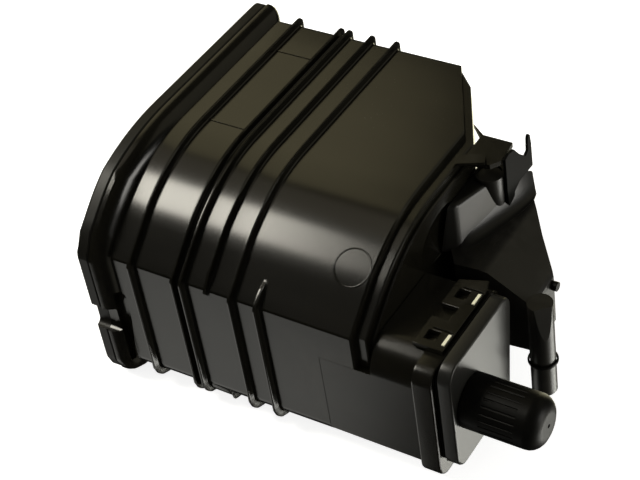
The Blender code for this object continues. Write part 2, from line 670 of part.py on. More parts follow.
# Latch plate over the box flange: two windows, two slots and a notch between the tongues.
LATCH_Z = (FLANGE_Z[1] + GAP, 0.0)
LATCH_X = (BOX_END_X - 20.5, BOX_END_X - 1.4)
NOTCH_X = BOX_END_X - 9.5
SLOT_X = (BOX_END_X - 4.8, BOX_END_X - 2.4)
latch_outline = [(LATCH_X[0], 13.0), (LATCH_X[1], 13.0), (LATCH_X[1], BOX_DEPTH - 9.0),
                 (LATCH_X[1] - 2.6, BOX_DEPTH + 0.6), (LATCH_X[0], BOX_DEPTH - 5.0),
                 (LATCH_X[0], 47.0), (NOTCH_X, 47.0), (NOTCH_X, 36.0), (LATCH_X[0], 36.0)]
latch = link_part(prism_z("latch_plate", latch_outline, *LATCH_Z), SIDE_PLASTIC)
PALE_NYLON = ((0.72, 0.70, 0.58), 0.35)
for label, y in (("near", 17.0), ("far", 52.5)):
    window = box("cut_latch_window_" + label, (LATCH_X[0] + 4.0, NOTCH_X + 0.3), (y + 1.5, y + 9.0),
                 (-9.0, 9.0))
    boolean(latch, link_cutter(window))
    slot = box("cut_latch_slot_" + label, SLOT_X, (y, y + 9.4), (-9.0, 9.0))
    boolean(latch, link_cutter(slot))
    slit = box("cut_latch_slit_" + label, (LATCH_X[0] + 5.5, SLOT_X[1]), (y + 10.4, y + 11.2),
               (-9.0, 9.0))
    boolean(latch, link_cutter(slit))
    # Pale snap tab standing in the slot, on the flange under the plate.
    tab = box("latch_tab_" + label, (SLOT_X[0] + GAP, SLOT_X[1] - GAP), (y + GAP, y + 9.4 - GAP),
              (LATCH_Z[0], LATCH_Z[1] + 0.25))
    link_part(tab, PALE_NYLON)

# Port chamber on the end face: a sloped box with a raised hump, and the down-turned pipe.
PORT_LEFT = END_X - 8.0      # the blank runs past the end face and is trimmed back
PORT_FRONT = PIPE_Y + 1.0
PORT_BACK = PIPE_Y + 86.0
SEAM_X = PORT_X - 26.0       # where the flat top turns down into the slope
PORT_EDGE_Z = PORT_TOP - 18.0
port_plan = [(PORT_LEFT, PORT_FRONT + 23.0), (END_X, PORT_FRONT + 14.0),
             (END_X + 13.0, PORT_FRONT - 3.0), (PORT_X, PORT_FRONT + 1.0),
             (PORT_X, PORT_FRONT + 30.0), (PORT_X - 15.5, PORT_BACK - 37.0),
             (PORT_X - 43.5, PORT_BACK), (PORT_LEFT, PORT_BACK)]
port_side = [(PORT_LEFT - 6.0, PORT_FLOOR - 9.0), (PORT_LEFT - 6.0, PORT_TOP),
             (SEAM_X - 6.5, PORT_TOP), (SEAM_X, PORT_TOP - 1.2), (PORT_X - 2.0, PORT_EDGE_Z),
             (PORT_X - 0.2, PORT_EDGE_Z - 3.0), (PORT_X + 3.0, PORT_FLOOR - 9.0)]
port = link_part(prism_z("port_chamber", port_plan, PORT_FLOOR, PORT_TOP + 6.0), SIDE_PLASTIC)
boolean(port, link_cutter(prism_y("keep_port_slope", port_side, PORT_FRONT - 23.0,
                                  PORT_BACK + 12.0)), "INTERSECT")
HUMP_Z = PORT_TOP + 24.0
HUMP_FOOT = [(PORT_LEFT + 1.0, PORT_FRONT + 4.0), (END_X, PORT_FRONT + 4.0),
             (END_X + 10.0, PORT_FRONT + 10.5), (END_X + 20.0, PORT_BACK - 38.0),
             (END_X + 15.5, PORT_BACK - 1.0), (PORT_LEFT + 1.0, PORT_BACK - 1.0)]
HUMP_TOP = [(PORT_LEFT + 1.0, PORT_FRONT + 15.0), (END_X, PORT_FRONT + 15.0),
            (END_X + 4.0, PORT_FRONT + 20.0), (END_X + 13.0, PORT_BACK - 38.0),
            (END_X + 11.5, PORT_BACK - 8.0), (PORT_LEFT + 1.0, PORT_BACK - 8.0)]
hump = loft("add_port_hump", [[(x, y, PORT_TOP - 3.0) for x, y in HUMP_FOOT],
                              [(x, y, HUMP_Z) for x, y in HUMP_TOP]])
bevel(hump, 2.5, 3, 30.0)
boolean(port, link_cutter(hump), "UNION")
BOSS_R = 9.0
BOSS_AT = (END_X + 10.0, PORT_BACK - 34.0)
BOSS_Z = HUMP_Z + 2.5
boolean(port, link_cutter(cylinder("add_port_boss", BOSS_R, (*BOSS_AT, PORT_TOP + 6.0),
                                   (*BOSS_AT, BOSS_Z), 32)), "UNION")
boolean(port, link_cutter(cylinder("cut_port_boss", BOSS_R - 1.4, (*BOSS_AT, BOSS_Z - 1.1),
                                   (*BOSS_AT, BOSS_Z + 6.0), 32)))
boolean(port, link_cutter(box("cut_port_blank", (PORT_LEFT - 9.0, END_X + GAP),
                              (PORT_FRONT - 13.0, PORT_BACK + 17.0),
                              (PORT_FLOOR - 30.0, HUMP_Z + 40.0))))
room_z = (PORT_FLOOR + WALL, PORT_TOP - 8.0)
boolean(port, link_cutter(box("cut_port_room", (END_X - 4.0, SEAM_X + 5.0),
                              (PORT_FRONT + 19.0, PORT_BACK - 42.0), room_z)))
boolean(port, link_cutter(box("cut_port_passage", (SEAM_X + 1.0, PORT_X - 4.0),
                              (PORT_FRONT + 7.0, PORT_FRONT + 23.0),
                              (PORT_FLOOR + WALL, PORT_EDGE_Z - 6.0))))
FACET_TURN = math.radians(45.0)
FACET_TILT = math.radians(5.5)
FACET_Z = -38.0
PIPE_TOP_Z = PORT_TOP - 12.0
pipe = cylinder("add_port_pipe", PIPE_R, (PIPE_X, PIPE_Y, PIPE_END_Z),
                (PIPE_X, PIPE_Y, PIPE_TOP_Z), 32)
facet_out = Vector((math.sin(FACET_TURN), -math.cos(FACET_TURN), 0.0))
facet_normal = facet_out * math.cos(FACET_TILT) + Vector((0.0, 0.0, math.sin(FACET_TILT)))
facet_at = Vector((PIPE_X, PIPE_Y, FACET_Z)) + facet_out * PIPE_R
slicer = cylinder("cut_pipe_facet", 40.0, facet_at, facet_at + facet_normal * 40.0, 24)
boolean(pipe, link_cutter(slicer))
boolean(port, link_cutter(pipe), "UNION")
BORE_END_Z = FACET_Z - 4.0
boolean(port, link_cutter(cylinder("cut_pipe_bore", PIPE_R - WALL, (PIPE_X, PIPE_Y, PIPE_END_Z - 3.0),
                                   (PIPE_X, PIPE_Y, BORE_END_Z), 24)))
boolean(port, link_cutter(cylinder("cut_pipe_elbow", 4.0, (PIPE_X, PIPE_Y, BORE_END_Z - 5.0),
                                   (PORT_X - 8.5, PORT_FRONT + 14.0, BORE_END_Z - 5.0), 20)))
RING_H = 1.1
RING_W = 1.5
ring_profile = [(PIPE_R + GAP, -RING_H), (PIPE_R + RING_W - 0.5, -RING_H),
                (PIPE_R + RING_W, 0.6 - RING_H), (PIPE_R + RING_W, RING_H - 0.6),
                (PIPE_R + RING_W - 0.5, RING_H), (PIPE_R + GAP, RING_H), (PIPE_R + GAP, -RING_H)]
ring = turned("pipe_ring", ring_profile, (PIPE_X, PIPE_Y, PIPE_BEAD_Z), (0.0, 0.0, 1.0), 32)
link_part(ring, DARK_PLASTIC)
PIN_AT = (PORT_FRONT + 27.5, PORT_EDGE_Z - 7.5)
link_part(cylinder("port_pin", 3.0, (PORT_X + GAP, *PIN_AT), (PORT_X + 3.8, *PIN_AT), 20),
          DARK_PLASTIC)

# Brackets behind the shoulder: a shelf against the stepped rim with a bar over it, and a
# forked clip plate across the end of the shelf.
SHELF_Y = CHAMFER[1][1] - 16.0
SHELF_TOP = TOP - STEP_IN - 0.5
SHELF_T = 3.2
FORK_X = END_X + 19.6
FORK_T = 1.8
rim_first, rim_last = chamfer_line(CHAMFER_RIM + GAP * 2.0)


def rim_point(y):
    """Point just outside the rim of the back corner at depth y."""
    share = (y - rim_first[1]) / (rim_last[1] - rim_first[1])
    return (rim_first[0] + (rim_last[0] - rim_first[0]) * share, y)


shelf_end = FORK_X - GAP
shelf_outline = [rim_point(SHELF_Y + 31.5), (shelf_end - 20.5, SHELF_Y + 24.2),
                 (shelf_end - 1.2, SHELF_Y + 24.2), (shelf_end, SHELF_Y + 15.0),
                 (shelf_end, SHELF_Y + 6.0), (shelf_end - 4.0, SHELF_Y + 0.5),
                 (END_X + 2.0, SHELF_Y - 1.5), (RIM_X + GAP * 2.0, SHELF_Y + 0.5),
                 (RIM_X + GAP * 2.0, SHELF_Y + 22.0)]
shelf = link_part(prism_z("bracket_shelf", shelf_outline, SHELF_TOP - SHELF_T, SHELF_TOP),
                  SIDE_PLASTIC)
bar_outline = [(RIM_X - 3.4, SHELF_Y - 1.5), (RIM_X + 12.5, SHELF_Y + 6.0),
               (RIM_X + 15.6, SHELF_Y - 1.2), (RIM_X + 0.8, SHELF_Y - 8.4)]
bar_z = (TOP - STEP_IN + GAP, TOP - STEP_IN + GAP + 1.8)
bar = prism_z("add_shelf_bar", bar_outline, *bar_z)
boolean(shelf, link_cutter(bar), "UNION")
bar_foot = [(RIM_X + 2.0, SHELF_Y - 2.8), (RIM_X + 11.0, SHELF_Y + 2.0),
            (RIM_X + 12.6, SHELF_Y - 1.4), (RIM_X + 3.4, SHELF_Y - 2.8)]
boolean(shelf, link_cutter(prism_z("add_shelf_bar_foot", bar_foot, SHELF_TOP - 1.0,
                                   bar_z[1] - 0.6)), "UNION")
FORK_TOP = SHELF_TOP + 1.0
FORK_Y = SHELF_Y + 8.5
fork_outline = [(0.0, FORK_TOP - 1.5), (0.0, 14.0), (0.5, 4.0), (2.5, -1.6), (5.5, -1.6), (7.9, 2.0),
                (9.0, 7.0), (15.5, 10.0), (33.0, 9.0), (32.5, 26.0), (31.5, FORK_TOP - 6.0),
                (30.5, FORK_TOP - 4.6), (29.1, FORK_TOP - 4.6), (28.3, FORK_TOP - 6.4),
                (27.7, 24.0), (24.7, 22.4), (17.5, 29.0), (11.1, FORK_TOP - 1.8), (4.5, FORK_TOP)]
fork = [[(x, FORK_Y + y, z) for y, z in fork_outline] for x in (FORK_X, FORK_X + FORK_T)]
link_part(loft("fork_clip", fork), DARK_PLASTIC)

# Stand the model on the middle of its underside.
ORIGIN = Vector(((COVER_X + CAP_END_X) * 0.5, (DEPTH + FLANGE_TOP_H - FLANGE_H) * 0.5,
                 bottom_z(JOINT_X + 1.0) - FLANGE_H)) * MM
for collection in (PARTS, CUTTERS):
    for item in collection.objects:
        item.location = item.location - ORIGIN
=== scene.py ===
import math

import bpy
from mathutils import Matrix, Vector


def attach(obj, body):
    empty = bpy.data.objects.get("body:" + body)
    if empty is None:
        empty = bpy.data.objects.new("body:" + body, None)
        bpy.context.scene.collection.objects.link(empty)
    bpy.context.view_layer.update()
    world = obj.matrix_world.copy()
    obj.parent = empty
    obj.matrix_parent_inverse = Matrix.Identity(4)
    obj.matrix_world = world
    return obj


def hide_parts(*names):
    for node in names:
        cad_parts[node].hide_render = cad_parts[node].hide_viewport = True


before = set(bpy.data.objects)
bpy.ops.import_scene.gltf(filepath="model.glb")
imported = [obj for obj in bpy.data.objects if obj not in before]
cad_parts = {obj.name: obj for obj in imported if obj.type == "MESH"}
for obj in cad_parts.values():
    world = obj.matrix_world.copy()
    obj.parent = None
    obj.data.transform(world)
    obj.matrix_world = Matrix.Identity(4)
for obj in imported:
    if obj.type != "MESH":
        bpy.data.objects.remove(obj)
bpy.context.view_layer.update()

MM = 0.001
SCENE_ORIGIN = (84.5, 100.4, -95.624)     # the scene's origin in the canister's drawing, in mm
X_AXIS = Vector((1.0, 0.0, 0.0))


def from_model(x, y, z):
    """Millimetres in the canister's drawing, to metres in the scene."""
    return Vector((x - SCENE_ORIGIN[0], y - SCENE_ORIGIN[1], z - SCENE_ORIGIN[2])) * MM


# Small helpers for selecting pieces and wiring shader nodes.


def deselect_all():
    if bpy.context.object and bpy.context.object.mode != "OBJECT":
        bpy.ops.object.mode_set(mode="OBJECT")
    bpy.ops.object.select_all(action="DESELECT")


def make_active(piece):
    deselect_all()
    piece.select_set(True)
    bpy.context.view_layer.objects.active = piece


def set_input(node, name, value):
    node.inputs[name].default_value = value


def feed(tree, node, socket, amount):
    """Set a socket to a number or a colour, or link it to another node's output."""
    if isinstance(amount, (int, float, tuple)):
        node.inputs[socket].default_value = amount
    else:
        tree.links.new(amount, node.inputs[socket])


def noise(tree, scale, detail, roughness, distortion=0.0):
    node = tree.nodes.new("ShaderNodeTexNoise")
    set_input(node, "Scale", scale)
    set_input(node, "Detail", detail)
    set_input(node, "Roughness", roughness)
    set_input(node, "Distortion", distortion)
    return node


def map_range(tree, value, span, target):
    """Map the span of a value to the target, clamped."""
    node = tree.nodes.new("ShaderNodeMapRange")
    node.clamp = True
    feed(tree, node, "From Min", span[0])
    feed(tree, node, "From Max", span[1])
    feed(tree, node, "To Min", target[0])
    feed(tree, node, "To Max", target[1])
    tree.links.new(value, node.inputs["Value"])
    return node.outputs["Result"]


def math_node(tree, operation, first, second):
    node = tree.nodes.new("ShaderNodeMath")
    node.operation = operation
    feed(tree, node, 0, first)
    feed(tree, node, 1, second)
    return node.outputs[0]


MIX_FACTOR, MIX_A, MIX_B, MIX_RESULT = 0, 6, 7, 2     # sockets of a Mix node that mixes colours


def mix_color(tree, factor, first, second):
    node = tree.nodes.new("ShaderNodeMix")
    node.data_type = "RGBA"
    node.blend_type = "MIX"
    feed(tree, node, MIX_FACTOR, factor)
    feed(tree, node, MIX_A, first)
    feed(tree, node, MIX_B, second)
    return node.outputs[MIX_RESULT]


def new_group(name, inputs, outputs):
    group = bpy.data.node_groups.new(name, "ShaderNodeTree")
    for label, kind, value in inputs:
        socket = group.interface.new_socket(name=label, in_out="INPUT", socket_type=kind)
        if value is not None:
            socket.default_value = value
    for label, kind in outputs:
        group.interface.new_socket(name=label, in_out="OUTPUT", socket_type=kind)
    start = group.nodes.new("NodeGroupInput")
    end = group.nodes.new("NodeGroupOutput")
    return group, start, end


def place_group(tree, group, values):
    node = tree.nodes.new("ShaderNodeGroup")
    node.node_tree = group
    for name, value in values.items():
        feed(tree, node, name, value)
    return node


# Shared surface effects.

FLOW_STRETCH = (0.35, 1.0, 1.0)           # the flow marks run along the part
SPREAD_GAIN = 3.0                         # noise stays near its middle, so this widens it
LEAST_ROUGHNESS = 0.08
MOST_ROUGHNESS = 0.95
GRAIN_HEIGHT = 0.012
SPECK_SCALE = 420.0
DUST_COLOR = (0.30, 0.28, 0.24, 1.0)
CONVEX_EDGE = (0.52, 0.62)                # pointiness at which wear begins and is full


def moulded_skin_group():
    """Colour, gloss and ripple of a large injection moulding, flowing along the part."""
    group, start, end = new_group(
        "moulded_skin",
        (("Vector", "NodeSocketVector", None),
         ("Color", "NodeSocketColor", (0.01, 0.01, 0.01, 1.0)),
         ("Flow Color", "NodeSocketColor", (0.02, 0.02, 0.016, 1.0)),
         ("Roughness", "NodeSocketFloat", 0.3),
         ("Roughness Spread", "NodeSocketFloat", 0.08),
         ("Ripple", "NodeSocketFloat", 0.3)),
        (("Color", "NodeSocketColor"), ("Roughness", "NodeSocketFloat"),
         ("Height", "NodeSocketFloat")))
    stretch = group.nodes.new("ShaderNodeMapping")
    set_input(stretch, "Scale", FLOW_STRETCH)
    group.links.new(start.outputs["Vector"], stretch.inputs["Vector"])
    flow = noise(group, scale=26.0, detail=4.0, roughness=0.55, distortion=0.6)
    cloud = noise(group, scale=9.0, detail=3.0, roughness=0.5, distortion=0.2)
    fine = noise(group, scale=900.0, detail=2.0, roughness=0.5)
    for texture in (flow, cloud):
        group.links.new(stretch.outputs["Vector"], texture.inputs["Vector"])
    group.links.new(start.outputs["Vector"], fine.inputs["Vector"])
    share = map_range(group, flow.outputs["Fac"], (0.35, 0.75), (0.0, 1.0))
    color = mix_color(group, share, start.outputs["Color"], start.outputs["Flow Color"])
    group.links.new(color, end.inputs["Color"])
    spread = math_node(group, "SUBTRACT", cloud.outputs["Fac"], 0.5)
    spread = math_node(group, "MULTIPLY", spread, start.outputs["Roughness Spread"])
    spread = math_node(group, "MULTIPLY", spread, SPREAD_GAIN)
    rough = math_node(group, "ADD", start.outputs["Roughness"], spread)
    rough = math_node(group, "MAXIMUM", rough, LEAST_ROUGHNESS)
    group.links.new(rough, end.inputs["Roughness"])
    ripple = math_node(group, "MULTIPLY", cloud.outputs["Fac"], start.outputs["Ripple"])
    grain = math_node(group, "MULTIPLY", fine.outputs["Fac"], GRAIN_HEIGHT)
    group.links.new(math_node(group, "ADD", ripple, grain), end.inputs["Height"])
    return group


def dust_group():
    """Sparse pale specks in patches, more of them on faces that look up."""
    group, start, end = new_group(
        "settled_dust",
        (("Vector", "NodeSocketVector", None),
         ("Color", "NodeSocketColor", (0.01, 0.01, 0.01, 1.0)),
         ("Roughness", "NodeSocketFloat", 0.3),
         ("Amount", "NodeSocketFloat", 0.3)),
        (("Color", "NodeSocketColor"), ("Roughness", "NodeSocketFloat")))
    specks = group.nodes.new("ShaderNodeTexVoronoi")
    specks.feature = "F1"
    set_input(specks, "Scale", SPECK_SCALE)
    patches = noise(group, scale=30.0, detail=3.0, roughness=0.6)
    group.links.new(start.outputs["Vector"], specks.inputs["Vector"])
    group.links.new(start.outputs["Vector"], patches.inputs["Vector"])
    near = map_range(group, specks.outputs["Distance"], (0.03, 0.10), (1.0, 0.0))
    where = map_range(group, patches.outputs["Fac"], (0.52, 0.70), (0.0, 1.0))
    geometry = group.nodes.new("ShaderNodeNewGeometry")
    parts = group.nodes.new("ShaderNodeSeparateXYZ")
    group.links.new(geometry.outputs["Normal"], parts.inputs["Vector"])
    upward = map_range(group, parts.outputs["Z"], (0.1, 0.9), (0.25, 1.0))
    mask = math_node(group, "MULTIPLY", near, where)
    mask = math_node(group, "MULTIPLY", mask, upward)
    mask = math_node(group, "MULTIPLY", mask, start.outputs["Amount"])
    color = mix_color(group, mask, start.outputs["Color"], DUST_COLOR)
    group.links.new(color, end.inputs["Color"])
    rough = math_node(group, "ADD", start.outputs["Roughness"], mask)
    rough = math_node(group, "MINIMUM", rough, MOST_ROUGHNESS)
    group.links.new(rough, end.inputs["Roughness"])
    return group


def edge_wear_group():
    """Slightly paler plastic along convex edges."""
    group, start, end = new_group(
        "handled_edges",
        (("Vector", "NodeSocketVector", None),
         ("Color", "NodeSocketColor", (0.01, 0.01, 0.01, 1.0)),
         ("Edge Color", "NodeSocketColor", (0.05, 0.05, 0.045, 1.0)),
         ("Amount", "NodeSocketFloat", 0.5)),
        (("Color", "NodeSocketColor"),))
    geometry = group.nodes.new("ShaderNodeNewGeometry")
    edge = map_range(group, geometry.outputs["Pointiness"], CONVEX_EDGE, (0.0, 1.0))
    breakup = noise(group, scale=160.0, detail=4.0, roughness=0.6)
    group.links.new(start.outputs["Vector"], breakup.inputs["Vector"])
    broken = map_range(group, breakup.outputs["Fac"], (0.4, 0.65), (0.2, 1.0))
    mask = math_node(group, "MULTIPLY", edge, broken)
    mask = math_node(group, "MULTIPLY", mask, start.outputs["Amount"])
    color = mix_color(group, mask, start.outputs["Color"], start.outputs["Edge Color"])
    group.links.new(color, end.inputs["Color"])
    return group


MOULDED_SKIN = moulded_skin_group()
SETTLED_DUST = dust_group()
HANDLED_EDGES = edge_wear_group()

# Materials.

EDGE_WEAR = 0.7
BUMP_DISTANCE = 0.004
PLASTIC_IOR = 1.5


def moulded_plastic(name, color, flow_color, edge_color, roughness, spread, ripple, bump, dust,
                    specular=0.5):
    """Plastic with its moulded skin, then worn edges, then dust."""
    material = bpy.data.materials.new(name)
    material.use_nodes = True
    tree = material.node_tree
    shader = tree.nodes["Principled BSDF"]
    where = tree.nodes.new("ShaderNodeTexCoord").outputs["Object"]
    skin = place_group(tree, MOULDED_SKIN, {
        "Vector": where, "Color": color, "Flow Color": flow_color, "Roughness": roughness,
        "Roughness Spread": spread, "Ripple": ripple})
    worn = place_group(tree, HANDLED_EDGES, {
        "Vector": where, "Color": skin.outputs["Color"], "Edge Color": edge_color,
        "Amount": EDGE_WEAR})
    dusty = place_group(tree, SETTLED_DUST, {
        "Vector": where, "Color": worn.outputs["Color"], "Roughness": skin.outputs["Roughness"],
        "Amount": dust})
    height = tree.nodes.new("ShaderNodeBump")
    set_input(height, "Strength", bump)
    set_input(height, "Distance", BUMP_DISTANCE)
    tree.links.new(skin.outputs["Height"], height.inputs["Height"])
    tree.links.new(dusty.outputs["Color"], shader.inputs["Base Color"])
    tree.links.new(dusty.outputs["Roughness"], shader.inputs["Roughness"])
    tree.links.new(height.outputs["Normal"], shader.inputs["Normal"])
    set_input(shader, "Specular IOR Level", specular)
    set_input(shader, "IOR", PLASTIC_IOR)
    return material


HOUSING = moulded_plastic(
    "housing_plastic",
    color=(0.0034, 0.0031, 0.0020, 1.0),
    flow_color=(0.0056, 0.0050, 0.0030, 1.0),
    edge_color=(0.016, 0.015, 0.012, 1.0),
    roughness=0.20, spread=0.05, ripple=0.5, bump=0.12, dust=0.30)
COVER = moulded_plastic(
    "cover_plastic",
    color=(0.0045, 0.0042, 0.0030, 1.0),
    flow_color=(0.0065, 0.0060, 0.0040, 1.0),
    edge_color=(0.014, 0.013, 0.011, 1.0),
    roughness=0.45, spread=0.05, ripple=0.3, bump=0.12, dust=0.2, specular=0.32)
WORN = moulded_plastic(
    "worn_housing_plastic",
    color=(0.0045, 0.0042, 0.0032, 1.0),
    flow_color=(0.0080, 0.0074, 0.0056, 1.0),
    edge_color=(0.016, 0.015, 0.012, 1.0),
    roughness=0.34, spread=0.10, ripple=0.8, bump=0.2, dust=0.35)
FORK = moulded_plastic(
    "fork_plastic",
    color=(0.0020, 0.0020, 0.0017, 1.0),
    flow_color=(0.0028, 0.0026, 0.0021, 1.0),
    edge_color=(0.006, 0.006, 0.005, 1.0),
    roughness=0.34, spread=0.04, ripple=0.3, bump=0.12, dust=0.15, specular=0.04)
LID = moulded_plastic(
    "lid_plastic",
    color=(0.010, 0.010, 0.009, 1.0),
    flow_color=(0.014, 0.014, 0.012, 1.0),
    edge_color=(0.020, 0.019, 0.016, 1.0),
    roughness=0.32, spread=0.05, ripple=0.3, bump=0.12, dust=0.3)
BLACK = moulded_plastic(
    "black_plastic",
    color=(0.0022, 0.0022, 0.0018, 1.0),
    flow_color=(0.0030, 0.0028, 0.0022, 1.0),
    edge_color=(0.006, 0.006, 0.005, 1.0),
    roughness=0.40, spread=0.05, ripple=0.3, bump=0.12, dust=0.15, specular=0.13)
# Painted highlight: a pale cream colour that stands for the bright glint on the latch tabs' sloped
# faces.
PAINTED_GLINT = moulded_plastic(
    "pale_nylon",
    color=(0.86, 0.84, 0.60, 1.0),
    flow_color=(0.90, 0.88, 0.66, 1.0),
    edge_color=(0.92, 0.90, 0.72, 1.0),
    roughness=0.35, spread=0.05, ripple=0.2, bump=0.1, dust=0.05)

# Pieces made from the CAD nodes. Lengths and places are in the drawing's millimetres.

KEEL_R = 11.0                # radius of the lower front corner of the canister
KEEL_CUTS = (1.0, 2.0 / 3.0)     # shares of that radius at which the mesh is cut to bend there
KEEL_DROP = 6.2              # how much deeper the underside lies at X 0, so that the outline stays
KEEL_DROP_DRAFT = 0.010      # how much that grows for each millimetre along X
KEEL_FIN = 1.2               # how much taller the ribs and the flange are round that corner
KEEL_FIN_FROM = 1.5          # what stands out by more than this is a rib or the flange
KEEL_SNAP = 1.2              # what lies less than this inside the outermost radius moves out to it
UNDERSIDE_SLACK = 0.05       # how far above the centre of that radius the drop still begins
BOTTOM_AT_0 = -86.0          # underside at X 0 of the drawing
BOTTOM_DRAFT = 0.029         # how much it rises for each millimetre along X
STATION_DIGITS = 2           # rounding of X by which vertices count as one cross-section

JOIN_WITHIN = 0.00002        # in metres
FLAT_WITHIN = math.radians(0.3)
SMOOTH_UP_TO = math.radians(28.0)
EASED_SEGMENTS = 2
FLAT_FACE_WEIGHT = 50


def keel_reach(point):
    """How far a point lies in front of and below the centre of the keel radius."""
    place = (point - from_model(0.0, 0.0, 0.0)) / MM
    underside = BOTTOM_AT_0 + BOTTOM_DRAFT * place.x
    return KEEL_R - place.y, underside + KEEL_R - place.z


def station(vertex):
    """Where a vertex lies along X, rounded so that one cross-section shares one value."""
    return round(vertex.co.x / MM, STATION_DIGITS)


def cut_for_keel(piece):
    """Edges along the keel radius, so that its corner can bend."""
    make_active(piece)
    bpy.ops.object.mode_set(mode="EDIT")
    for share in KEEL_CUTS:
        level = from_model(0.0, 0.0, BOTTOM_AT_0 + KEEL_R * share)
        depth = from_model(0.0, KEEL_R * share, 0.0)
        bpy.ops.mesh.select_all(action="SELECT")
        bpy.ops.mesh.bisect(plane_co=level, plane_no=(-BOTTOM_DRAFT, 0.0, 1.0))
        bpy.ops.mesh.select_all(action="SELECT")
        bpy.ops.mesh.bisect(plane_co=depth, plane_no=(0.0, 1.0, 0.0))
    bpy.ops.object.mode_set(mode="OBJECT")


def round_keel(piece):
    """Widen the lower front corner to its moulded radius, ribs and flange too, and lower it."""
    cut_for_keel(piece)
    skin = {}
    for vertex in piece.data.vertices:
        front, below = keel_reach(vertex.co)
        if front > 0.0 and below > 0.0:
            skin[station(vertex)] = max(skin.get(station(vertex), 0.0), front, below)
    for vertex in piece.data.vertices:
        front, below = keel_reach(vertex.co)
        if front > 0.0 and below > 0.0:
            radius = max(front, below)
            outer = skin[station(vertex)]
            if radius > outer - KEEL_SNAP:
                radius = outer
            turn = math.radians(45.0) * min(front, below) / max(front, below)
            if below > front:
                turn = math.radians(90.0) - turn
            if radius > KEEL_R + KEEL_FIN_FROM:
                radius += KEEL_FIN * math.sin(turn)
            vertex.co.y += (front - radius * math.cos(turn)) * MM
            vertex.co.z += (below - radius * math.sin(turn)) * MM
        if below > -UNDERSIDE_SLACK:
            along = (vertex.co.x - from_model(0.0, 0.0, 0.0).x) / MM
            vertex.co.z -= (KEEL_DROP + KEEL_DROP_DRAFT * along) * MM


def dressed(node, material, slot, edge):
    """A copy of a CAD node, joined up, with its edges eased and its curves smoothed."""
    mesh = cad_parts[node].data.copy()
    piece = bpy.data.objects.new(node + "_skin", mesh)
    bpy.context.scene.collection.objects.link(piece)
    make_active(piece)
    bpy.ops.object.mode_set(mode="EDIT")
    bpy.ops.mesh.select_all(action="SELECT")
    bpy.ops.mesh.remove_doubles(threshold=JOIN_WITHIN)
    bpy.ops.mesh.dissolve_limited(angle_limit=FLAT_WITHIN)
    bpy.ops.object.mode_set(mode="OBJECT")
    if node in ("shell", "end_cover"):
        round_keel(piece)
    bpy.ops.object.shade_smooth_by_angle(angle=SMOOTH_UP_TO)
    ease = piece.modifiers.new("eased_edges", "BEVEL")
    ease.width = edge * MM
    ease.segments = EASED_SEGMENTS
    ease.limit_method = "ANGLE"
    ease.angle_limit = SMOOTH_UP_TO
    ease.use_clamp_overlap = True
    ease.harden_normals = True
    bpy.ops.object.modifier_apply(modifier=ease.name)
    weigh = piece.modifiers.new("flat_faces_first", "WEIGHTED_NORMAL")
    weigh.mode = "FACE_AREA"
    weigh.weight = FLAT_FACE_WEIGHT
    weigh.keep_sharp = True
    bpy.ops.object.modifier_apply(modifier=weigh.name)
    piece.data.materials.clear()
    piece.data.materials.append(material)
    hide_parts(node)
    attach(piece, "root")


DRESSED = (  # node, material, slot, and the width of its eased edges
    ("shell", HOUSING, "housing_plastic", 0.5),
    ("end_cover", COVER, "housing_plastic", 0.5),
    ("filter_box", HOUSING, "housing_plastic", 0.6),
    ("filter_lid", LID, "housing_plastic", 0.6),
    ("port_chamber", WORN, "housing_plastic", 0.6),
    ("latch_plate", HOUSING, "housing_plastic", 0.3),
    ("bracket_shelf", HOUSING, "housing_plastic", 0.3),
    ("breather_cap", BLACK, "black_plastic", 0.2),
    ("pipe_ring", BLACK, "black_plastic", 0.1),
    ("port_pin", BLACK, "black_plastic", 0.4),
    ("fork_clip", FORK, "black_plastic", 0.3),
    # the latch tabs wear the painted highlight colour in place of the glint on their sloped faces
    ("latch_tab_near", PAINTED_GLINT, "pale_nylon", 0.1),
    ("latch_tab_far", PAINTED_GLINT, "pale_nylon", 0.1))

for row in DRESSED:
    dressed(*row)

INNER_NODES = ("charcoal", "felt", "pressure", "screen", "spring", "air_filter", "lid_seal")

for node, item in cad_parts.items():
    if node.startswith(INNER_NODES):
        for place in item.material_slots:
            place.material = BLACK

# Pieces added to the CAD, in the drawing's millimetres.

ARCH_BEND = 108.0            # radius of the arch under the dial ring
RING_AT = (110.5, 29.9, 24.7)
RING_OUTWARD = (0.0, -0.55, 0.835)
RING_R = 11.3
RING_WIRE_R = 0.55
RING_FLATNESS = 0.9          # height of the ring's wire as a share of its width
FOOT_X = 17.6
FOOT_Y = 9.5
FOOT_UP = 7.4                # centre of the foot above the lowered underside at X 0
FOOT_R = 9.3
FOOT_LONG = 16.0
FOOT_RIM = 0.8
SADDLE_STEPS = 8
SADDLE_WALL = 4.0
SADDLE = (  # on the hump's wall, at its foot, and out on the flat top of the chamber
    ((138.2, 101.5, 5.0), (141.0, 96.5, -1.4), (143.5, 93.5, -1.9)),
    ((141.2, 101.8, 6.0), (143.4, 98.3, -1.4), (150.0, 97.0, -1.9)),
    ((146.0, 118.5, 7.0), (148.6, 117.0, -1.4), (155.5, 115.2, -1.9)),
    ((149.3, 135.5, 13.0), (153.4, 134.8, -1.4), (160.5, 132.8, -1.9)),
    ((152.6, 150.0, 14.0), (157.0, 148.5, -1.4), (163.0, 146.0, -1.9)),
    ((155.0, 164.0, 8.0), (159.5, 158.0, -1.4), (162.5, 154.0, -1.9)))


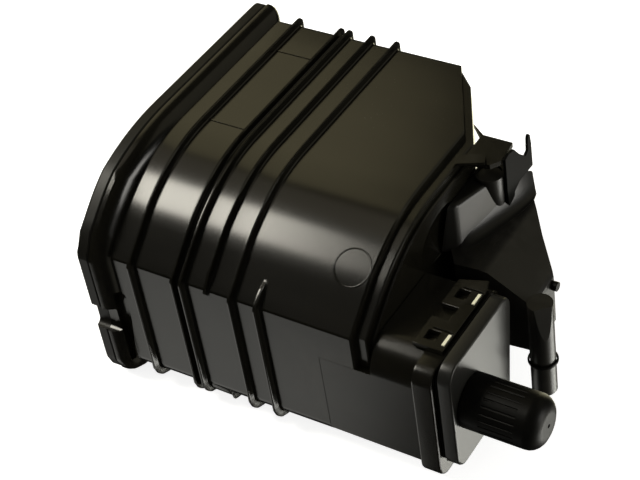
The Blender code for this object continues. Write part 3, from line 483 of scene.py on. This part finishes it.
def finish_piece(piece, name, material, smooth=40.0):
    """Name a new piece, fix its place in its mesh and give it material and body."""
    make_active(piece)
    bpy.ops.object.transform_apply(location=True, rotation=True, scale=True)
    bpy.ops.object.mode_set(mode="EDIT")
    bpy.ops.mesh.select_all(action="SELECT")
    bpy.ops.mesh.normals_make_consistent(inside=False)
    bpy.ops.object.mode_set(mode="OBJECT")
    bpy.ops.object.shade_smooth_by_angle(angle=math.radians(smooth))
    piece.name = name
    piece.data.materials.clear()
    piece.data.materials.append(material)
    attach(piece, "root")


def dial_ring():
    """Thin raised ring on the arch, bent to follow it."""
    outward = Vector(RING_OUTWARD).normalized()
    middle = from_model(*RING_AT)
    downhill = X_AXIS.cross(outward)
    deselect_all()
    bpy.ops.mesh.primitive_torus_add(major_radius=RING_R * MM, minor_radius=RING_WIRE_R * MM,
                                     major_segments=72, minor_segments=10)
    ring = bpy.context.object
    for vertex in ring.data.vertices:
        along, up, out = vertex.co
        sag = up * up / (2.0 * ARCH_BEND * MM)
        vertex.co = (middle + X_AXIS * along - downhill * up
                     + outward * (out * RING_FLATNESS - sag))
    finish_piece(ring, "dial_ring", HOUSING)


def keel_foot():
    """Low round foot on the lower front corner, between two ribs."""
    deselect_all()
    middle = from_model(FOOT_X, FOOT_Y, BOTTOM_AT_0 - KEEL_DROP + FOOT_UP)
    bpy.ops.mesh.primitive_cylinder_add(vertices=64, radius=FOOT_R * MM, depth=FOOT_LONG * MM,
                                        location=middle, rotation=(0.0, math.radians(90.0), 0.0))
    foot = bpy.context.object
    ease = foot.modifiers.new("eased_rims", "BEVEL")
    ease.width = FOOT_RIM * MM
    ease.segments = 3
    bpy.ops.object.modifier_apply(modifier=ease.name)
    finish_piece(foot, "keel_foot", HOUSING)


def port_saddle():
    """Concave sweep from the hump of the port chamber down to its flat top."""
    deselect_all()
    rows = len(SADDLE)
    bpy.ops.mesh.primitive_grid_add(x_subdivisions=SADDLE_STEPS, y_subdivisions=rows - 1, size=2.0)
    saddle = bpy.context.object
    for vertex in saddle.data.vertices:
        share = (vertex.co.x + 1.0) * 0.5
        row = round((vertex.co.y + 1.0) * 0.5 * (rows - 1))
        wall, foot, top = (from_model(*point) for point in SADDLE[row])
        vertex.co = (wall * (1.0 - share) ** 2 + foot * 2.0 * share * (1.0 - share)
                     + top * share ** 2)
    rounding = saddle.modifiers.new("rounded_sweep", "SUBSURF")
    rounding.levels = 2
    rounding.render_levels = 2
    bpy.ops.object.modifier_apply(modifier=rounding.name)
    thick = saddle.modifiers.new("moulded_wall", "SOLIDIFY")
    thick.thickness = SADDLE_WALL * MM
    thick.offset = -1.0
    bpy.ops.object.modifier_apply(modifier=thick.name)
    finish_piece(saddle, "port_saddle", WORN, smooth=60.0)


dial_ring()
keel_foot()
port_saddle()

# Floor, light and camera, in metres.

FLOOR_SIDE = 12.0
FLOOR_Z = -0.0075            # just under the lowered underside
FLOOR_COLOR = (0.86, 0.86, 0.86, 1.0)
FLOOR_GLOW = 0.80
LAMP_DISTANCE = 3.0
LAMP_AIM = (0.0, 0.0, 0.07)  # about the middle of the canister
SOFTBOXES = (  # name, direction, half angles wide and high, radiance, colour
    ("key_softbox", (-0.612, -0.245, 0.752), 10.0, 9.0, 16.0, (1.0, 0.96, 0.84)),
    ("key_spill", (-0.46, 0.06, 0.885), 13.0, 8.0, 0.50, (1.0, 0.90, 0.68)),
    ("ceiling_softbox", (-0.55, 0.47, 0.70), 9.0, 15.0, 0.88, (1.0, 0.88, 0.52)),
    ("under_table_softbox", (-0.58, -0.40, -0.71), 13.0, 14.0, 0.80, (1.0, 0.99, 0.92)),
    ("right_softbox", (0.90, 0.28, -0.33), 11.0, 10.0, 3.2, (1.0, 0.97, 0.86)),
    ("hump_softbox", (0.75, 0.16, -0.65), 8.0, 8.0, 6.5, (1.0, 0.99, 0.93)),
    ("saddle_softbox", (0.95, 0.20, 0.08), 11.0, 14.0, 6.0, (1.0, 0.98, 0.92)),
    ("back_softbox", (0.55, 0.45, -0.70), 8.0, 8.0, 6.5, (1.0, 1.0, 0.92)),
    ("end_card", (0.40, 0.64, -0.66), 13.0, 12.0, 0.55, (1.0, 0.97, 0.86)),
    ("fill_softbox", (0.50, 0.60, 0.62), 18.0, 18.0, 0.26, (1.0, 0.92, 0.66)),
    ("cap_softbox", (-0.19, 0.97, -0.13), 15.0, 12.0, 1.3, (1.0, 0.90, 0.50)),
    ("low_right_card", (0.75, 0.10, -0.50), 35.0, 30.0, 0.22, (1.0, 0.94, 0.75)),
    ("far_edge_card", (-0.46, 0.80, -0.39), 30.0, 20.0, 2.0, (1.0, 0.95, 0.70)))
ROOM_COLOR = (1.0, 0.99, 0.96, 1.0)
ROOM_LEVEL = 0.35            # the room's light on matt surfaces
ROOM_MIRRORED = 0.012        # what glossy plastic shows of the room
ROOM_SEEN = 1.0              # the white that the camera sees behind the floor

CAMERA_AZIMUTH = math.radians(37.833)
CAMERA_ELEVATION = math.radians(40.900)
CAMERA_ROLL = math.radians(-9.656)
CAMERA_AT = (0.44721, -0.63792, 0.75635)
FOCAL_PIXELS = 1700.0        # focal length in pixels, in a photo PHOTO_WIDTH pixels wide
PHOTO_WIDTH = 640.0
SENSOR_WIDTH = 36.0


def studio_floor():
    """White shooting table: it glows to the camera, and softboxes under it shine through."""
    bpy.ops.mesh.primitive_plane_add(size=FLOOR_SIDE, location=(0.0, 0.0, FLOOR_Z))
    floor = bpy.context.object
    floor.name = "studio_floor"
    material = bpy.data.materials.new("studio_white")
    material.use_nodes = True
    tree = material.node_tree
    shader = tree.nodes["Principled BSDF"]
    set_input(shader, "Base Color", FLOOR_COLOR)
    set_input(shader, "Roughness", 0.9)
    set_input(shader, "Specular IOR Level", 0.0)
    glow = tree.nodes.new("ShaderNodeEmission")
    path = tree.nodes.new("ShaderNodeLightPath")
    seen = math_node(tree, "MAXIMUM", path.outputs["Is Camera Ray"],
                     path.outputs["Is Transmission Ray"])
    tree.links.new(math_node(tree, "MULTIPLY", seen, FLOOR_GLOW), glow.inputs["Strength"])
    both = tree.nodes.new("ShaderNodeAddShader")
    tree.links.new(shader.outputs[0], both.inputs[0])
    tree.links.new(glow.outputs[0], both.inputs[1])
    output = tree.nodes["Material Output"]
    tree.links.new(both.outputs[0], output.inputs["Surface"])
    floor.data.materials.append(material)
    floor.visible_glossy = False
    floor.visible_shadow = False


def softbox(name, direction, half_wide, half_high, radiance, color):
    """Far rectangular lamp, given by its direction, half angles and how bright its face is."""
    out = Vector(direction).normalized()
    along = (X_AXIS - out * X_AXIS.dot(out)).normalized()
    across = out.cross(along)
    data = bpy.data.lights.new(name, "AREA")
    data.shape = "RECTANGLE"
    data.size = 2.0 * LAMP_DISTANCE * math.tan(math.radians(half_wide))
    data.size_y = 2.0 * LAMP_DISTANCE * math.tan(math.radians(half_high))
    data.energy = radiance * data.size * data.size_y * math.pi
    data.color = color
    lamp = bpy.data.objects.new(name, data)
    place = Matrix.Translation(Vector(LAMP_AIM) + out * LAMP_DISTANCE)
    turn = Matrix((along, across, out)).transposed()
    lamp.matrix_world = place @ turn.to_4x4()
    bpy.context.scene.collection.objects.link(lamp)


def studio_room():
    """White room, seen as such by the camera and much darker in reflections."""
    world = bpy.data.worlds.new("studio_room")
    bpy.context.scene.world = world
    world.use_nodes = True
    tree = world.node_tree
    room = tree.nodes["Background"]
    set_input(room, "Color", ROOM_COLOR)
    path = tree.nodes.new("ShaderNodeLightPath")
    level = map_range(tree, path.outputs["Is Glossy Ray"], (0.0, 1.0), (ROOM_LEVEL, ROOM_MIRRORED))
    level = map_range(tree, path.outputs["Is Camera Ray"], (0.0, 1.0), (level, ROOM_SEEN))
    tree.links.new(level, room.inputs["Strength"])


def photograph_camera():
    """The camera as solved from the photograph."""
    data = bpy.data.cameras.new("photograph_camera")
    data.sensor_width = SENSOR_WIDTH
    data.lens = FOCAL_PIXELS / PHOTO_WIDTH * SENSOR_WIDTH
    camera = bpy.data.objects.new("photograph_camera", data)
    bpy.context.scene.collection.objects.link(camera)
    back = Vector((math.sin(CAMERA_AZIMUTH) * math.cos(CAMERA_ELEVATION),
                   -math.cos(CAMERA_AZIMUTH) * math.cos(CAMERA_ELEVATION),
                   math.sin(CAMERA_ELEVATION)))
    right = (-back).cross(Vector((0.0, 0.0, 1.0))).normalized()
    up = right.cross(-back)
    turned_right = right * math.cos(CAMERA_ROLL) + up * math.sin(CAMERA_ROLL)
    turned_up = up * math.cos(CAMERA_ROLL) - right * math.sin(CAMERA_ROLL)
    turn = Matrix((turned_right, turned_up, back)).transposed()
    camera.matrix_world = Matrix.Translation(CAMERA_AT) @ turn.to_4x4()
    bpy.context.scene.camera = camera


studio_floor()
for row in SOFTBOXES:
    softbox(*row)
studio_room()
photograph_camera()

scene = bpy.context.scene
scene.view_settings.view_transform = "Standard"
